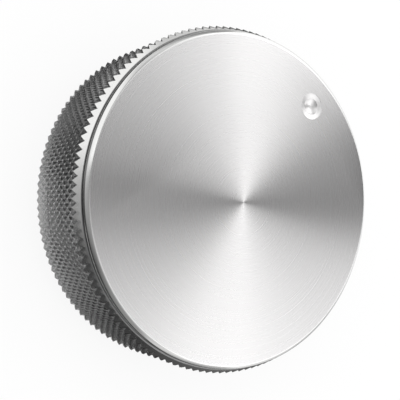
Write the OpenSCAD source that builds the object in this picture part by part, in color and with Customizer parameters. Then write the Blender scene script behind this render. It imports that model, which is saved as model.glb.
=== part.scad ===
// Desk volume knob: a knurled metal knob that turns and clicks down on an encoder,
// over a weighted base with a board and a USB-C socket. Millimetres, +Z up, desk at z = 0.

/* [Knob] */
// Diameter across the tips of the knurl
knob_d = 60; // [58:0.5:63]
// Height of the knob from its lower rim to its face
knob_h = 19; // [17:0.5:19]
// Thickness of the knob's top under the face
top_t = 3; // [2.6:0.1:3.6]
// Wall of the skirt, from the tips of the knurl to the bore
skirt_wall = 3.5; // [3:0.1:4]
// How far the knob goes down when it is pressed
press_travel = 0.5; // [0.3:0.05:0.5]

/* [Face edge] */
// Width of the bright bevel round the face
bevel_w = 0.75; // [0.5:0.05:1]
// Height of the bevel
bevel_h = 1; // [0.7:0.1:1.3]
// Height of the fine groove turned under the bevel
groove_h = 0.3; // [0.2:0.05:0.4]
// Depth of the groove, in from the lower edge of the bevel
groove_depth = 0.4; // [0.2:0.05:0.6]
// Width of the sloping shoulder between the groove and the knurl tips
shoulder_w = 0.825; // [0.7:0.025:1]
// Height of the shoulder
shoulder_h = 1.65; // [1.3:0.05:2]

/* [Knurl] */
// Distance between neighbouring knurl grooves, square to them
knurl_pitch = 1.2; // [1:0.1:1.6]
// Angle of the knurl grooves to the axis of the knob, in degrees
knurl_angle = 30; // [28:1:34]
// Depth of the knurl
knurl_depth = 0.5; // [0.3:0.05:0.6]
// Height of the chamfer at the knurl's lower end
knurl_chamfer = 0.5; // [0.3:0.05:0.8]

/* [Dimple] */
// Outer diameter of the dimple's bevelled ring
dimple_d = 4.6; // [3.6:0.1:6]
// Diameter of the round bowl inside that ring
bowl_d = 3; // [2:0.1:3.4]
// Depth of the bevelled ring
dimple_bevel_h = 0.3; // [0.2:0.05:0.5]
// Depth of the bowl below the ring
bowl_depth = 0.55; // [0.3:0.05:0.8]
// Distance from the edge of the face to the middle of the dimple
dimple_inset = 5.2; // [4:0.2:12]
// Direction of the dimple from +X, in degrees
dimple_angle = 50; // [0:5:355]

/* [Hub] */
// Diameter of the hub's flange
hub_flange_d = 23; // [21:0.5:26]
// Thickness of the hub's flange
hub_flange_t = 2.4; // [2:0.1:3]
// Diameter of the hub's barrel
hub_barrel_d = 11; // [10:0.5:12]
// Gap between the shaft's end and the underside of the knob's top
shaft_end_gap = 0.2; // [0.1:0.05:0.4]

/* [Base] */
// Gap between the base housing and the bore of the skirt
base_gap = 1.5; // [1:0.1:2]
// Wall of the base housing
base_wall = 2.2; // [2:0.1:2.4]
// Thickness of the housing's top deck
deck_t = 1.8; // [1.5:0.1:2]
// Thickness of the steel bottom plate
plate_t = 1.6; // [1.4:0.1:2]
// Space between the wall of the housing and the two posts that carry the circuit board
board_post_gap = 1.6; // [1:0.1:3]

/* [Foot ring] */
// Thickness of the silicone foot ring
foot_t = 1.2; // [1:0.1:1.4]
// How far the foot ring stands below the bottom plate
foot_proud = 0.6; // [0.5:0.1:0.8]
// Distance from the edge of the base to the foot ring
foot_inset = 2.5; // [2.2:0.1:4]
// Width of the foot ring
foot_w = 3.6; // [3:0.2:4]

/* [Circuit board] */
// Thickness of the circuit board
board_t = 1.6; // [1.6:0.1:1.7]
// Space between the bottom plate and the circuit board
board_gap = 1.4; // [1.3:0.1:1.6]

/* [Encoder] */
// Width of the encoder along X
enc_w = 11.7; // [11.5:0.1:12]
// Length of the encoder along Y
enc_l = 12; // [11.8:0.1:12.4]
// Height of the chamber for the push switch, under the encoder's rotor
switch_h = 1.32; // [1.2:0.02:1.6]
// Wall of the threaded bushing round the shaft
bushing_wall = 0.5; // [0.4:0.05:0.8]
// Length of the bushing above the mounting face
bushing_l = 5; // [4.9:0.1:5.1]
// Diameter of the shaft
shaft_d = 6; // [5:0.1:6.4]
// Length of the shaft above the mounting face
shaft_l = 12.5; // [11.5:0.1:14]
// Width left across the D flat of the shaft
shaft_across = 4.5; // [4:0.1:4.8]
// Width of the mounting nut across its flats
nut_af = 10; // [9.6:0.2:11]
// Thickness of the mounting nut
nut_t = 2; // [1.8:0.1:2.1]
// Number of clicks in a turn
clicks = 20; // [12:1:30]

/* [Socket] */
// Width of the USB-C socket's shell
usb_w = 8.94; // [8.9:0.02:9]
// Height of the shell
usb_h = 3.16; // [3.1:0.02:3.2]
// Length of the shell
usb_l = 7.3; // [7:0.1:7.6]
// Widest plug body that the flat behind the socket takes
plug_w = 12.35; // [12:0.05:12.6]
// Tallest plug body that fits under the rim
plug_h = 6.5; // [6:0.1:6.5]

/* [Hidden] */
$fn = 96;

// Clearances and one overrun for every cut
run_fit = 0.03;
slide_fit = 0.05;
thread_fit = 0.05;
case_fit = 0.15;
board_fit = 0.3;
cut_over = 0.5;

// Heights over the desk, from the foot up
plate_z = foot_proud;
plate_top_z = plate_z + plate_t;
board_z = plate_top_z + board_gap;
board_top_z = board_z + board_t;

// Encoder: heights of its layers, from the board up to the mounting face
dome_floor_t = 0.4;
partition_t = 0.6;
disc_t = 0.6;
collar_t = 0.7;
bush_flange_t = 1.3;
frame_t = 0.4;
dome_z = board_top_z + dome_floor_t;
partition_z = dome_z + switch_h;
floor_z = partition_z + partition_t;
drive_z = floor_z + press_travel + slide_fit;
disc_z = drive_z + slide_fit;
disc_top_z = disc_z + disc_t;
collar_z = disc_top_z + press_travel + slide_fit;
collar_top_z = collar_z + collar_t;
bush_flange_z = collar_top_z + run_fit;
mount_z = bush_flange_z + bush_flange_t + frame_t;

// Heights from the mounting face up to the knob's face, and down its skirt to the rim
deck_top_z = mount_z + deck_t;
washer_t = 0.5;
washer_top_z = deck_top_z + washer_t;
bushing_top_z = mount_z + bushing_l;
shaft_top_z = mount_z + shaft_l;
web_z = shaft_top_z + shaft_end_gap;
face_z = web_z + top_t;
rim_z = face_z - knob_h;

// Knob: radii of the rim, from the face outwards
tip_r = knob_d / 2;
root_r = tip_r - knurl_depth;
shoulder_r = tip_r - shoulder_w;
groove_fall = 0.025;
bevel_r = shoulder_r - groove_fall;
face_r = bevel_r - bevel_w;
groove_r = bevel_r - groove_depth;
bore_r = tip_r - skirt_wall;
dimple_r = face_r - dimple_inset;
bore_chamfer = 0.4;
web_fillet = 0.8;
disc_overlap = 0.6;

// Knob: heights of the rim and of the knurl's two ends
bevel_low_z = face_z - bevel_h;
shoulder_z = bevel_low_z - groove_h;
knurl_top_z = shoulder_z - shoulder_h;
shoulder_slope = shoulder_w / shoulder_h;
root_top_z = knurl_top_z + knurl_depth / shoulder_slope;
knurl_low_z = rim_z + knurl_chamfer;

// Knurl: teeth in a turn, and the rows of half a diamond between its mean ends
knurl_teeth = round(PI * knob_d * cos(knurl_angle) / knurl_pitch);
knurl_columns = 2 * knurl_teeth;
knurl_mean_top_z = (knurl_top_z + root_top_z) / 2;
knurl_mean_low_z = (knurl_low_z + rim_z) / 2;
half_diamond = knurl_pitch / sin(knurl_angle) / 2;
knurl_rows = round((knurl_mean_top_z - knurl_mean_low_z) / half_diamond);

// Clip on the shaft, just over the bushing
clip_t = 0.5;
clip_gap = press_travel + slide_fit;
clip_clear = 0.3;
clip_groove_depth = 0.6;
clip_groove_r = shaft_d / 2 - clip_groove_depth;
clip_reach = 1.1;
clip_r = shaft_d / 2 + clip_reach;
clip_mouth_w = 3;
clip_play = 0.04;

// Hub and its screws
hub_lower_z = bushing_top_z + clip_gap + clip_t + clip_clear;
hub_rib_t = 1.2;
hub_rib_h_share = 0.7;
hub_rib_inset = 1.4;
hub_screw_count = 3;
hub_screw_pcd = (hub_barrel_d + hub_flange_d) / 2;
screw_r = 1;
screw_head_r = 1.9;
screw_head_t = 1;
screw_slot_r = 0.75;
screw_slot_depth = 0.5;
hub_screw_bite = 1.8;
hub_hole_depth = 2.1;
hub_d_fit = 0.02;

// Shaft: D flat for the hub, collar inside the encoder, and drive flats
shaft_tip_chamfer = 0.4;
d_flat_l = shaft_top_z - hub_lower_z + clip_clear / 2;
drive_r = shaft_d / 3;
drive_across = shaft_d / 2;

// Encoder: its chambers, and the shaft's collar inside the click spring
chamber_wall = 0.65;
chamber_r = min(enc_w, enc_l) / 2 - chamber_wall;
spring_fit = 0.2;
spring_w = 1;
spring_out_r = chamber_r - spring_fit;
spring_in_r = spring_out_r - spring_w;
collar_fit = 0.3;
collar_r = spring_in_r - collar_fit;
switch_r = 3.1;

// Encoder: rotor, plunger, dome, spring and contacts
disc_fit = 0.3;
disc_r = chamber_r - disc_fit;
notch_w = 0.5;
notch_depth = 0.25;
notch_l = 0.6;
click_r = disc_r - notch_l;
track_recess = 0.1;
track_inset = 1.3;
track_r = disc_r - track_inset;
track_w = 0.9;
plunger_r = 1.3;
plunger_head_r = 2;
plunger_head_t = 0.4;
plunger_top_z = drive_z - slide_fit;
dome_t = 0.12;
dome_fit = 0.3;
dome_r = switch_r - dome_fit;
dome_top_r = 1.2;
press_clear = 0.25;
dome_h = switch_h - plunger_head_t - press_clear;
spring_t = 0.2;
spring_bump_r = 0.35;
spring_mouth_w = 2;
finger_w = 0.8;
finger_t = 0.2;
finger_pitch = 2.5;
finger_tip_w = 0.5;

// Encoder: pins, the slots that they leave by, and the frame's lugs
pin_w = 0.9;
pin_t = 0.4;
pin_reach = 1.5;
pin_low = 0.9;
pin_z = floor_z;
pin_hole_r = 0.6;
signal_pins = [-1, 0, 1];
switch_pins = [-1, 1];
frame_leg_w = 8;
lug_w = 2;
lug_low = 0.8;
lug_slot_fit = 0.2;
enc_out_w = enc_w + 2 * frame_t;
enc_corner_r = sqrt(enc_out_w * enc_out_w + enc_l * enc_l) / 2;

// Nut and washer
bushing_d = shaft_d + 2 * bushing_wall;
nut_corner_r = nut_af / 2 / cos(30);
washer_lip = 0.1;
washer_r = nut_corner_r + washer_lip;
washer_teeth = 12;
washer_tooth_w = 0.6;
washer_tooth_l = 1;
nut_chamfer = 0.4;
bushing_chamfer = bushing_wall * 3 / 5;

// Base housing
ledge_w = 0.5;
deck_fillet = 1;
deck_hole_r = bushing_d / 2 + case_fit;
base_r = bore_r - base_gap;
base_in_r = base_r - base_wall;
rebate_r = base_in_r + ledge_w;
plate_post_r = 2.5;
board_post_r = 2.7;
board_screw_pcd = 2 * (base_in_r - board_post_gap - board_post_r);
deck_rib_w = 1;
deck_rib_h = 1.6;
deck_rib_gap = 0.9;
deck_rib_r = enc_corner_r + deck_rib_gap;

// Foot ring, bottom plate and the plate's screws, midway between the ring and the encoder
foot_out_r = base_r - foot_inset;
foot_in_r = foot_out_r - foot_w;
plate_screw_pcd = enc_corner_r + foot_in_r;
plate_r = rebate_r - case_fit;
plate_screw_r = 1.25;
plate_head_r = 2.4;
plate_head_t = 1.2;
plate_screw_bite = 4.5;
plate_screw_count = 4;
pilot_deeper = 0.6;
foot_chamfer = 0.25;
foot_fit = 0.1;

// Board and what stands on it; the chip lies midway between the encoder's pins and the edge
board_r = base_in_r - board_fit;
board_screw_bite = 3.6;
chip_w = 7;
chip_t = 1.3;
chip_stand = 0.1;
chip_lead_l = 1;
chip_lead_w = 0.35;
chip_lead_pitch = 0.8;
chip_lead_t = 0.15;
chip_knee_share = 0.4;
chip_leads = 8;
chip_y = -(board_r + enc_l / 2 + pin_reach) / 2;
chip_mark_r = 0.4;
chip_mark_depth = 0.05;
crystal_size = [3.2, 2.5, 0.8];
crystal_share = [0.38, -0.76];
crystal_lid = 0.25;
small_part = [1.6, 0.8, 0.5];
small_part_cap = 0.3;
small_part_cap_t = 0.04;
small_part_shares = [
    [-0.38, -0.69], [-0.38, -0.78], [-0.48, -0.69],
    [-0.4, 0.78], [0.4, 0.78], [0.4, 0.69]
];

// Socket
usb_sheet = 0.3;
usb_z = board_z + board_t / 2;
plug_fit = 0.3;
flat_half_w = plug_w / 2 + plug_fit;
flat_y = sqrt(base_r * base_r - flat_half_w * flat_half_w);
flat_top_z = usb_z + plug_h / 2 + plug_fit;
usb_front_y = flat_y - case_fit;
usb_back_y = usb_front_y - usb_l;
usb_window_fit = 0.25;
usb_slot_fit = 0.2;
usb_leg_out = 1;
usb_leg_x = usb_w / 2 + usb_leg_out;
usb_leg_t = 0.3;
usb_leg_w = 1.4;
usb_leg_low = 0.5;
usb_legs_y_share = [0.2, 0.58];
usb_back_t = 1.8;
usb_in_w = usb_w - 2 * usb_sheet;
usb_in_h = usb_h - 2 * usb_sheet;
tongue_side_gap = 0.825;
tongue_w = usb_in_w - 2 * tongue_side_gap;
tongue_t = 0.7;
tongue_set = 0.7;
collar_gap = 0.4;
tongue_collar_w = usb_in_w - 2 * collar_gap;
tongue_collar_t = usb_in_h - 2 * collar_gap;
tongue_collar_l = 1.2;

// A flat-sided round, as the D end of a shaft
module d_round(r, across) {
    intersection() {
        circle(r);
        translate([-r, -r]) square([across, 2 * r]);
    }
}

// A round with two opposite flats
module two_flats(r, across) {
    intersection() {
        circle(r);
        square([across, 2 * r], center = true);
    }
}

// A slot outline with round ends, w wide and h high
module stadium(w, h) {
    r = h / 2;
    square([w - h, h], center = true);
    for (side = [-1, 1]) translate([side * (w / 2 - r), 0]) circle(r);
}

// The stadium driven along Y from y0 to y1, at the height of the socket
module socket_bar(w, h, y0, y1) {
    translate([0, y1, usb_z]) rotate([90, 0, 0]) linear_extrude(y1 - y0) stadium(w, h);
}

// A pan-headed screw that points up, with its head under z = 0
module pan_screw(length) {
    difference() {
        union() {
            translate([0, 0, -screw_head_t]) cylinder(r = screw_head_r, h = screw_head_t);
            cylinder(r = screw_r, h = length);
        }
        translate([0, 0, -screw_head_t - cut_over])
            cylinder(r = screw_slot_r, h = screw_slot_depth + cut_over, $fn = 6);
    }
}

// Places on a circle, the first one at angle a0
module on_circle(pcd, count, a0 = 0) {
    for (i = [0 : count - 1]) rotate(a0 + 360 * i / count) translate([pcd / 2, 0, 0]) children();
}

// A point of the knurl: tips and roots alternate round a row and from row to row.
// The first row lies on the shoulder's cone and the last one on the lower chamfer,
// so that each is a zigzag of tips and roots.
function is_tip(k, row) = (k + row) % 2 == 0;
function knurl_z(k, row) =
    row == 0 ? (is_tip(k, row) ? knurl_top_z : root_top_z)
    : row == knurl_rows ? (is_tip(k, row) ? knurl_low_z : rim_z)
    : knurl_mean_top_z - (knurl_mean_top_z - knurl_mean_low_z) * row / knurl_rows;
function knurl_point(k, row) =
    let (r = is_tip(k, row) ? tip_r : root_r, a = 360 * k / knurl_columns)
    [r * cos(a), r * sin(a), knurl_z(k, row)];
function at(k, row) = row * knurl_columns + k % knurl_columns;

// Diamond-knurled blank of the grip: every diamond is a pyramid of four faces between the
// grooves, and the grooves run along the diagonals that join roots.
module knurled_blank() {
    last = knurl_rows;
    ring0 = (last + 1) * knurl_columns;
    grid = [for (row = [0 : last]) for (k = [0 : knurl_columns - 1]) knurl_point(k, row)];
    top_ring = [
        for (k = [1 : 2 : knurl_columns - 1])
            let (a = 360 * k / knurl_columns)
            [shoulder_r * cos(a), shoulder_r * sin(a), shoulder_z]
    ];
    diamonds = [
        for (row = [0 : last - 1]) for (k = [0 : knurl_columns - 1])
            let (a = at(k, row), b = at(k + 1, row), c = at(k + 1, row + 1), d = at(k, row + 1))
            each is_tip(k, row) ? [[a, b, d], [b, c, d]] : [[a, b, c], [a, c, d]]
    ];
    shoulder = [
        for (i = [0 : knurl_teeth - 1])
            let (
                here = ring0 + i,
                next = ring0 + (i + 1) % knurl_teeth,
                root = at(2 * i + 1, 0),
                tip = at(2 * i + 2, 0),
                next_root = at(2 * i + 3, 0)
            )
            each [[here, next, tip], [here, tip, root], [next, next_root, tip]]
    ];
    low_roots = [for (k = [0 : knurl_columns - 1]) if (!is_tip(k, last)) at(k, last)];
    chamfer = [
        for (k = [0 : knurl_columns - 1])
            if (is_tip(k, last)) [at(k + knurl_columns - 1, last), at(k, last), at(k + 1, last)]
    ];
    top_cap = [[for (i = [knurl_teeth - 1 : -1 : 0]) ring0 + i]];
    polyhedron(
        points = concat(grid, top_ring),
        faces = concat(diamonds, shoulder, chamfer, top_cap, [low_roots])
    );
}

// Spun disc that carries the face, its bevel and the wall of the groove
module face_disc() {
    rotate_extrude() polygon([
        [0, face_z],
        [face_r, face_z],
        [bevel_r, bevel_low_z],
        [groove_r, bevel_low_z],
        [groove_r, shoulder_z - disc_overlap],
        [0, shoulder_z - disc_overlap]
    ]);
}

// Space under the knob: a bore with a round inner corner and a small entry chamfer
module knob_cavity() {
    rotate_extrude() {
        translate([0, rim_z - cut_over]) square([bore_r, web_z - web_fillet - rim_z + cut_over]);
        translate([0, web_z - 2 * web_fillet]) square([bore_r - web_fillet, 2 * web_fillet]);
        translate([bore_r - web_fillet, web_z - web_fillet]) circle(web_fillet);
        polygon([
            [0, rim_z - cut_over],
            [bore_r + bore_chamfer, rim_z - cut_over],
            [bore_r + bore_chamfer, rim_z],
            [bore_r, rim_z + bore_chamfer],
            [0, rim_z + bore_chamfer]
        ]);
    }
}

// Dimple: a bevelled ring, then a round bowl
module dimple_cut() {
    bowl_r = bowl_d / 2;
    ball_r = (bowl_r * bowl_r + bowl_depth * bowl_depth) / (2 * bowl_depth);
    translate([dimple_r * cos(dimple_angle), dimple_r * sin(dimple_angle), face_z]) {
        translate([0, 0, -dimple_bevel_h]) cylinder(r1 = bowl_r, r2 = dimple_d / 2, h = dimple_bevel_h);
        intersection() {
            translate([0, 0, ball_r - dimple_bevel_h - bowl_depth]) sphere(ball_r);
            translate([0, 0, -dimple_bevel_h - bowl_depth - cut_over])
                cylinder(r = dimple_d / 2, h = bowl_depth + cut_over);
        }
    }
}

module knob_shell() {
    color("gainsboro") difference() {
        union() {
            knurled_blank();
            face_disc();
        }
        knob_cavity();
        dimple_cut();
        on_circle(hub_screw_pcd, hub_screw_count)
            translate([0, 0, web_z - cut_over])
                cylinder(r = screw_r + thread_fit, h = hub_hole_depth + cut_over);
    }
}

module knob_hub() {
    barrel_r = hub_barrel_d / 2;
    flange_z = web_z - hub_flange_t;
    rib_h = (flange_z - hub_lower_z) * hub_rib_h_share;
    rib_reach = hub_flange_d / 2 - hub_rib_inset;
    color("dimgray") difference() {
        union() {
            translate([0, 0, hub_lower_z]) cylinder(r = barrel_r, h = web_z - hub_lower_z);
            translate([0, 0, flange_z]) cylinder(r = hub_flange_d / 2, h = hub_flange_t);
            for (i = [0 : hub_screw_count - 1])
                rotate((i + 1 / 2) * 360 / hub_screw_count)
                    translate([0, hub_rib_t / 2, 0]) rotate([90, 0, 0]) linear_extrude(hub_rib_t) polygon([
                        [0, flange_z - rib_h],
                        [barrel_r, flange_z - rib_h],
                        [rib_reach, flange_z],
                        [rib_reach, flange_z + hub_flange_t / 2],
                        [0, flange_z + hub_flange_t / 2]
                    ]);
        }
        translate([0, 0, hub_lower_z - cut_over])
            linear_extrude(web_z - hub_lower_z + 2 * cut_over)
                d_round(shaft_d / 2 + hub_d_fit, shaft_across + 2 * hub_d_fit);
        on_circle(hub_screw_pcd, hub_screw_count)
            translate([0, 0, flange_z - cut_over])
                cylinder(r = screw_r + slide_fit, h = hub_flange_t + 2 * cut_over);
    }
}

module hub_screws() {
    color("silver") on_circle(hub_screw_pcd, hub_screw_count)
        translate([0, 0, web_z - hub_flange_t]) pan_screw(hub_flange_t + hub_screw_bite);
}

module encoder_shaft() {
    r = shaft_d / 2;
    clip_z = bushing_top_z + clip_gap;
    color("lightgray") difference() {
        union() {
            rotate_extrude() polygon([
                [0, collar_z],
                [collar_r, collar_z],
                [collar_r, collar_top_z],
                [r, collar_top_z],
                [r, clip_z],
                [clip_groove_r, clip_z],
                [clip_groove_r, clip_z + clip_t + clip_play],
                [r, clip_z + clip_t + clip_play],
                [r, shaft_top_z - shaft_tip_chamfer],
                [r - shaft_tip_chamfer, shaft_top_z],
                [0, shaft_top_z]
            ]);
            translate([0, 0, drive_z])
                linear_extrude(collar_z - drive_z + collar_t / 2) two_flats(drive_r, drive_across);
        }
        translate([shaft_across - r, -r - cut_over, shaft_top_z - d_flat_l])
            cube([r, shaft_d + 2 * cut_over, d_flat_l + cut_over]);
    }
}

module retaining_clip() {
    color("darkgray") translate([0, 0, bushing_top_z + clip_gap + clip_play / 2]) difference() {
        cylinder(r = clip_r, h = clip_t);
        translate([0, 0, -cut_over]) cylinder(r = clip_groove_r + clip_play, h = clip_t + 2 * cut_over);
        translate([-clip_mouth_w / 2, 0, -cut_over])
            cube([clip_mouth_w, clip_r + cut_over, clip_t + 2 * cut_over]);
    }
}

// Rotor with one click notch per step on top and a contact track below
module code_disc() {
    color("saddlebrown") difference() {
        translate([0, 0, disc_z]) cylinder(r = disc_r, h = disc_t);
        translate([0, 0, disc_z - cut_over])
            linear_extrude(disc_t + 2 * cut_over)
                two_flats(drive_r + slide_fit, drive_across + 2 * slide_fit);
        for (i = [0 : clicks - 1])
            rotate(360 * i / clicks)
                translate([click_r, -notch_w / 2, disc_top_z - notch_depth])
                    cube([notch_l + cut_over, notch_w, notch_depth + cut_over]);
        translate([0, 0, disc_z - cut_over]) difference() {
            cylinder(r = track_r + track_w / 2, h = track_recess + cut_over);
            translate([0, 0, -cut_over])
                cylinder(r = track_r - track_w / 2, h = track_recess + 3 * cut_over);
        }
    }
}

module switch_plunger() {
    head_z = partition_z - press_clear - plunger_head_t;
    color("black") union() {
        translate([0, 0, head_z]) cylinder(r = plunger_head_r, h = plunger_head_t);
        translate([0, 0, head_z]) cylinder(r = plunger_r, h = plunger_top_z - head_z);
    }
}

// Snap dome: a thin cone-sided cap with its rim on the chamber's floor
module switch_dome() {
    top_z = dome_z + dome_h - slide_fit;
    color("silver") rotate_extrude() polygon([
        [0, top_z],
        [dome_top_r, top_z],
        [dome_r, dome_z + dome_t],
        [dome_r, dome_z],
        [dome_r - dome_t, dome_z],
        [dome_top_r, top_z - dome_t],
        [0, top_z - dome_t]
    ]);
}

// The pins' bars at height pin_z, cut into the body's walls, then straight down through the board
module pin_bar(x, side, fit = 0) {
    w = pin_w + 2 * fit;
    y0 = chamber_r - 2 * fit;
    y1 = enc_l / 2 + pin_reach;
    translate([x, 0, 0]) mirror([0, side < 0 ? 1 : 0, 0]) translate([-w / 2, y0, pin_z - fit])
        cube([w, y1 - y0, pin_t + 2 * fit]);
}

module each_pin() {
    for (i = signal_pins) {
        $x = i * finger_pitch;
        $side = -1;
        children();
    }
    for (i = switch_pins) {
        $x = i * finger_pitch;
        $side = 1;
        children();
    }
}

module encoder_body() {
    color("darkgreen") difference() {
        translate([-enc_w / 2, -enc_l / 2, board_top_z]) cube([enc_w, enc_l, bush_flange_z - board_top_z]);
        translate([0, 0, floor_z]) cylinder(r = chamber_r, h = bush_flange_z - floor_z + cut_over);
        translate([0, 0, dome_z]) cylinder(r = switch_r, h = partition_z - dome_z);
        translate([0, 0, partition_z - cut_over])
            cylinder(r = plunger_r + slide_fit, h = partition_t + 2 * cut_over);
        each_pin() pin_bar($x, $side, slide_fit);
    }
}

module encoder_bushing() {
    r = bushing_d / 2;
    color("lightsteelblue") difference() {
        union() {
            translate([-enc_w / 2, -enc_l / 2, bush_flange_z]) cube([enc_w, enc_l, bush_flange_t]);
            translate([0, 0, bush_flange_z])
                cylinder(r = r, h = bushing_top_z - bush_flange_z - bushing_chamfer);
            translate([0, 0, bushing_top_z - bushing_chamfer])
                cylinder(r1 = r, r2 = r - bushing_chamfer, h = bushing_chamfer);
        }
        translate([0, 0, bush_flange_z - cut_over])
            cylinder(r = shaft_d / 2 + run_fit, h = bushing_top_z - bush_flange_z + 2 * cut_over);
    }
}

// Folded steel frame: a top plate over the bushing's flange, two legs and their lugs
module encoder_frame() {
    color("silver") difference() {
        union() {
            translate([-enc_out_w / 2, -enc_l / 2, mount_z - frame_t])
                cube([enc_out_w, enc_l, frame_t]);
            for (side = [-1, 1]) {
                x0 = side < 0 ? -enc_out_w / 2 : enc_w / 2;
                translate([x0, -frame_leg_w / 2, board_top_z])
                    cube([frame_t, frame_leg_w, mount_z - board_top_z]);
                translate([x0, -lug_w / 2, board_z - lug_low])
                    cube([frame_t, lug_w, board_t + lug_low + cut_over]);
            }
        }
        translate([0, 0, mount_z - frame_t - cut_over])
            cylinder(r = bushing_d / 2 + slide_fit, h = frame_t + 2 * cut_over);
    }
}

// Split leaf ring under the bushing's flange, with a bump just over the notches
module click_spring() {
    spring_z = bush_flange_z - spring_t;
    bump_x = disc_r - spring_bump_r;
    color("goldenrod") union() {
        difference() {
            translate([0, 0, spring_z]) cylinder(r = spring_out_r, h = spring_t);
            translate([0, 0, spring_z - cut_over]) cylinder(r = spring_in_r, h = spring_t + 2 * cut_over);
            translate([-spring_mouth_w / 2, 0, spring_z - cut_over])
                cube([spring_mouth_w, spring_out_r + cut_over, spring_t + 2 * cut_over]);
        }
        translate([bump_x, 0, disc_top_z + slide_fit])
            cylinder(r = spring_bump_r, h = spring_z - disc_top_z);
    }
}

// Three sprung fingers: a foot on the chamber's floor and a tip just under the code track
module wiper_contacts() {
    reach_x = finger_pitch + finger_w / 2;
    foot_y = slide_fit - sqrt(chamber_r * chamber_r - reach_x * reach_x);
    color("gold") for (i = signal_pins) {
        tip_y = -sqrt(track_r * track_r - pow(i * finger_pitch, 2)) - finger_tip_w / 2;
        translate([i * finger_pitch, 0, floor_z]) union() {
            translate([-finger_w / 2, foot_y, 0])
                cube([finger_w, tip_y + finger_tip_w - foot_y, finger_t]);
            translate([-finger_tip_w / 2, tip_y, 0])
                cube([finger_tip_w, finger_tip_w, disc_z - slide_fit - floor_z]);
        }
    }
}

module encoder_terminals() {
    color("silver") each_pin() union() {
        pin_bar($x, $side);
        y0 = $side * (enc_l / 2 + pin_reach) - ($side > 0 ? pin_t : 0);
        translate([$x - pin_w / 2, y0, board_z - pin_low])
            cube([pin_w, pin_t, pin_z + pin_t - board_z + pin_low]);
    }
}

module lock_washer() {
    color("darkgray") difference() {
        translate([0, 0, deck_top_z]) cylinder(r = washer_r, h = washer_t);
        translate([0, 0, deck_top_z - cut_over]) cylinder(r = deck_hole_r, h = washer_t + 2 * cut_over);
        for (i = [0 : washer_teeth - 1])
            rotate(360 * i / washer_teeth)
                translate([deck_hole_r - cut_over, -washer_tooth_w / 2, deck_top_z - cut_over])
                    cube([washer_tooth_l + cut_over, washer_tooth_w, washer_t + 2 * cut_over]);
    }
}

module mounting_nut() {
    flat_h = nut_t - nut_chamfer;
    color("silver") difference() {
        intersection() {
            translate([0, 0, washer_top_z]) cylinder(r = nut_corner_r, h = nut_t, $fn = 6);
            union() {
                translate([0, 0, washer_top_z]) cylinder(r = nut_corner_r + nut_chamfer, h = flat_h);
                translate([0, 0, washer_top_z + flat_h]) cylinder(
                    r1 = nut_corner_r + nut_chamfer / 2,
                    r2 = nut_corner_r - nut_chamfer,
                    h = nut_chamfer
                );
            }
        }
        translate([0, 0, washer_top_z - cut_over])
            cylinder(r = bushing_d / 2 + thread_fit, h = nut_t + 2 * cut_over);
    }
}

module circuit_board() {
    color("forestgreen") translate([0, 0, board_z]) linear_extrude(board_t) difference() {
        circle(board_r);
        for (i = [0 : plate_screw_count - 1])
            rotate(45 + 360 * i / plate_screw_count)
                translate([plate_screw_pcd / 2, 0]) circle(plate_post_r + board_fit);
        for (side = [-1, 1]) {
            translate([side * board_screw_pcd / 2, 0]) circle(screw_r + case_fit);
            translate([side * (enc_w + frame_t) / 2, 0])
                square([frame_t + 2 * lug_slot_fit, lug_w + 2 * lug_slot_fit], center = true);
        }
        each_pin() translate([$x, $side * (enc_l / 2 + pin_reach - pin_t / 2)]) circle(pin_hole_r);
        translate([-usb_w / 2 - usb_slot_fit, usb_back_y - usb_slot_fit])
            square([usb_w + 2 * usb_slot_fit, usb_l + board_r]);
        for (side = [-1, 1]) for (share = usb_legs_y_share)
            translate([side * (usb_leg_x - usb_leg_t / 2), usb_back_y + share * usb_l])
                square([usb_leg_t + 2 * usb_slot_fit, usb_leg_w + 2 * usb_slot_fit], center = true);
    }
}

module controller_chip() {
    half = chip_w / 2;
    body_z = board_top_z + chip_stand;
    color("black") translate([0, chip_y, 0]) difference() {
        union() {
            translate([-half, -half, body_z]) cube([chip_w, chip_w, chip_t]);
            for (turn = [0 : 3]) rotate(90 * turn)
                for (i = [0 : chip_leads - 1])
                    translate([half, (i - (chip_leads - 1) / 2) * chip_lead_pitch - chip_lead_w / 2, 0])
                        lead();
        }
        translate([-half + 3 * chip_mark_r, half - 3 * chip_mark_r, body_z + chip_t - chip_mark_depth])
            cylinder(r = chip_mark_r, h = chip_mark_depth + cut_over);
    }
}

// One gull-wing lead: out of the body, down, and flat on the board
module lead() {
    high = board_top_z + chip_stand + chip_t / 2;
    knee = chip_lead_l * chip_knee_share;
    rotate([90, 0, 0]) mirror([0, 0, 1]) linear_extrude(chip_lead_w) polygon([
        [-chip_lead_t, high],
        [knee, high],
        [knee, board_top_z + chip_lead_t],
        [chip_lead_l, board_top_z + chip_lead_t],
        [chip_lead_l, board_top_z],
        [knee - chip_lead_t, board_top_z],
        [knee - chip_lead_t, high - chip_lead_t],
        [-chip_lead_t, high - chip_lead_t]
    ]);
}

module crystal() {
    w = crystal_size[0];
    l = crystal_size[1];
    h = crystal_size[2];
    x = crystal_share[0] * board_r;
    y = crystal_share[1] * board_r;
    color("silver") translate([x, y, board_top_z]) union() {
        translate([-w / 2, -l / 2, 0]) cube([w, l, h / 2]);
        translate([-w / 2 + crystal_lid, -l / 2 + crystal_lid, 0])
            cube([w - 2 * crystal_lid, l - 2 * crystal_lid, h]);
    }
}

module chip_parts() {
    w = small_part[0];
    l = small_part[1];
    h = small_part[2];
    color("tan") for (share = small_part_shares) translate([0, 0, board_top_z])
        translate(share * board_r) union() {
            translate([-w / 2, -l / 2 + small_part_cap_t, 0])
                cube([w, l - 2 * small_part_cap_t, h - small_part_cap_t]);
            for (side = [-1, 1])
                translate([side * (w - small_part_cap) / 2 - small_part_cap / 2, -l / 2, 0])
                    cube([small_part_cap, l, h]);
        }
}

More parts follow.
